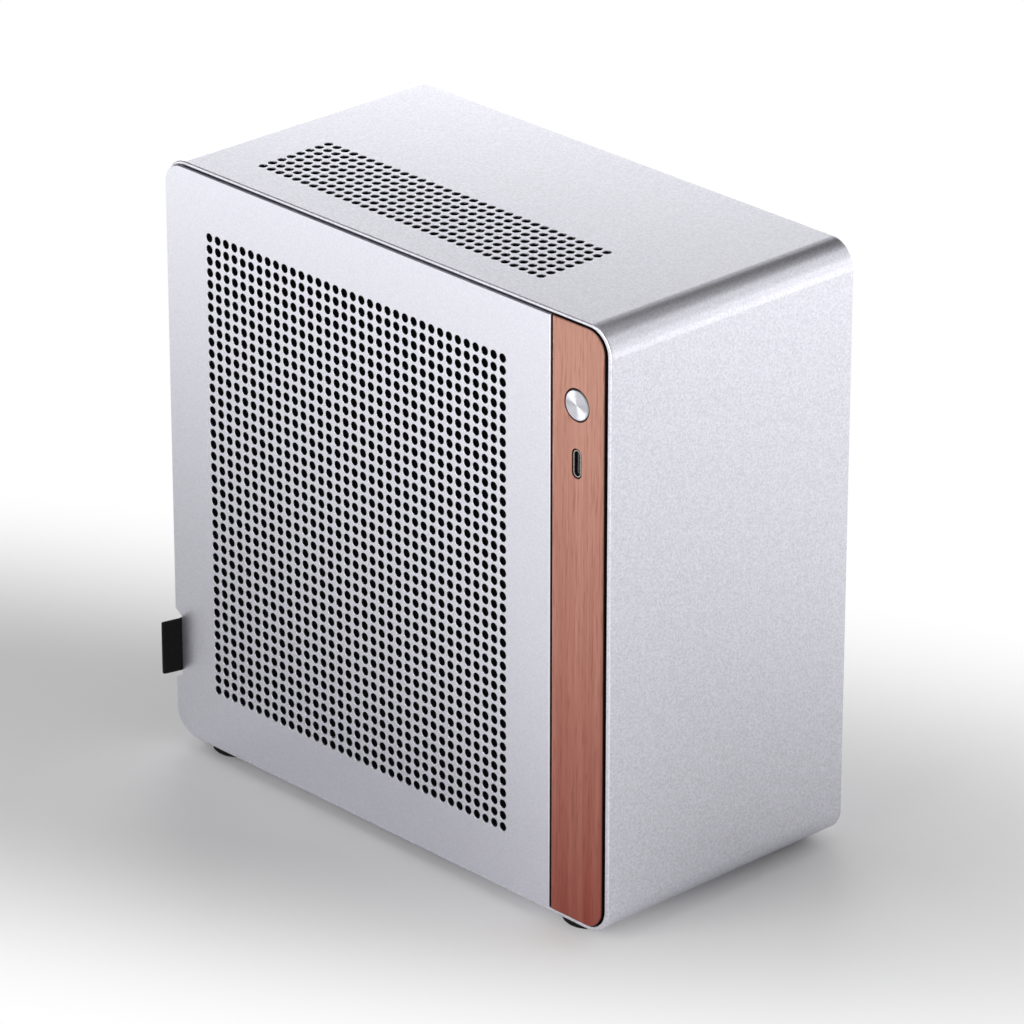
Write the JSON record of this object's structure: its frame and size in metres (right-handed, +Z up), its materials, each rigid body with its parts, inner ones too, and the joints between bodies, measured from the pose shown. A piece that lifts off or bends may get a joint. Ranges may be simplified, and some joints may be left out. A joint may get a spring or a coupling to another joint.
{
  "type": "desktop computer tower",
  "caption": "Compact desktop tower: rounded matt silver shell, perforated pull-off side panel, wood strip with power button and port, vented top, fabric pull tags, round feet.",
  "frame": {"origin": "centre of the outline on the floor under the feet", "axes": "+X to the right seen from the front, -Y out of the front face, +Z up"},
  "size_m": [0.123, 0.204, 0.2076],
  "materials": {
    "bead_blasted_aluminium": "fine matt bead-blasted",
    "spun_aluminium": "spun with fine rings",
    "walnut_wood": "oiled, fine upright grain",
    "woven_ribbon": "woven, matt",
    "filter_mesh": "stiff fine nylon mesh",
    "black_rubber": "matt",
    "black_steel": "fine black powder coat",
    "zinc_steel": "bright zinc",
    "bright_nickel": "bright nickel",
    "brass_pins": "plain",
    "circuit_board": "solder mask",
    "copper_base": "machined copper",
    "fin_aluminium": "plain",
    "cable_sleeve": "braided sleeve",
    "black_plastic": "matt moulded"
  },
  "bodies": {
    "chassis": {"board_heatsinks": "fin_aluminium", "board_parts": "black_plastic", "board_screws": "zinc_steel", "board_tray": "black_steel", "button_housing": "black_plastic", "chassis_frame": "black_steel", "cooler_base": "copper_base", "cooler_bracket": "zinc_steel", "cooler_fan_frame": "black_plastic", "cooler_fins": "fin_aluminium", "cooler_screws": "zinc_steel", "cpu_socket": "black_plastic", "expansion_slot": "black_plastic", "feet": "black_rubber", "filter_top": "filter_mesh", "finger_guard": "zinc_steel", "foot_screws": "zinc_steel", "front_boards": "circuit_board", "front_cable": "cable_sleeve", "inlet_pins": "brass_pins", "main_cable": "cable_sleeve", "mainboard": "circuit_board", "mains_inlet": "black_plastic", "memory_slots": "black_plastic", "memory_sticks": "circuit_board", "port_cores": "black_plastic", "port_shell": "bright_nickel", "port_shield": "zinc_steel", "port_tongue": "black_plastic", "power_sockets": "black_plastic", "processor": "bright_nickel", "processor_cable": "cable_sleeve", "psu_case": "zinc_steel", "psu_circuit": "circuit_board", "psu_cover": "zinc_steel", "psu_fan_frame": "black_plastic", "psu_screws": "zinc_steel", "rear_panel": "black_steel", "rear_ports": "bright_nickel", "rocker_frame": "black_plastic", "shell": "bead_blasted_aluminium", "snap_clips": "black_plastic", "solid_state_drive": "black_plastic", "standoffs": "brass_pins", "switch_body": "black_plastic", "wood_strip": "walnut_wood"},
    "left_cover": {"left_panel": "bead_blasted_aluminium", "left_tag": "woven_ribbon", "left_studs": "zinc_steel", "filter_left": "filter_mesh"},
    "right_cover": {"right_panel": "bead_blasted_aluminium", "right_tag": "woven_ribbon", "right_studs": "zinc_steel", "filter_right": "filter_mesh"},
    "power_button": {"button_cap": "spun_aluminium", "switch_plunger": "black_plastic"},
    "cooler_fan": {"cooler_fan_rotor": "black_plastic"},
    "psu_fan": {"psu_fan_rotor": "black_plastic"},
    "supply_switch": {"psu_rocker": "black_plastic"}
  },
  "joints": [
    {"name": "left_cover_off", "type": "slide", "parent": "chassis", "child": "left_cover", "axis": [-1, 0, 0], "range_m": [0, 0.06]},
    {"name": "right_cover_off", "type": "slide", "parent": "chassis", "child": "right_cover", "axis": [1, 0, 0], "range_m": [0, 0.06]},
    {"name": "power_button_press", "type": "slide", "parent": "chassis", "child": "power_button", "axis": [1, 0, 0], "range_m": [0, 0.001], "stiffness_N_per_m": 800, "springref_m": -0.001},
    {"name": "cooler_fan_spin", "type": "hinge", "parent": "chassis", "child": "cooler_fan", "pos_m": [0, 0.0184, 0.141], "axis": [-1, 0, 0], "continuous": true},
    {"name": "psu_fan_spin", "type": "hinge", "parent": "chassis", "child": "psu_fan", "pos_m": [-0.02735, 0.089, 0.0742], "axis": [0, 1, 0], "continuous": true},
    {"name": "supply_switch_rock", "type": "hinge", "parent": "chassis", "child": "supply_switch", "pos_m": [-0.02735, 0.1006, 0.0462], "axis": [0, 0, 1], "range_deg": [-14, 0]}
  ]
}
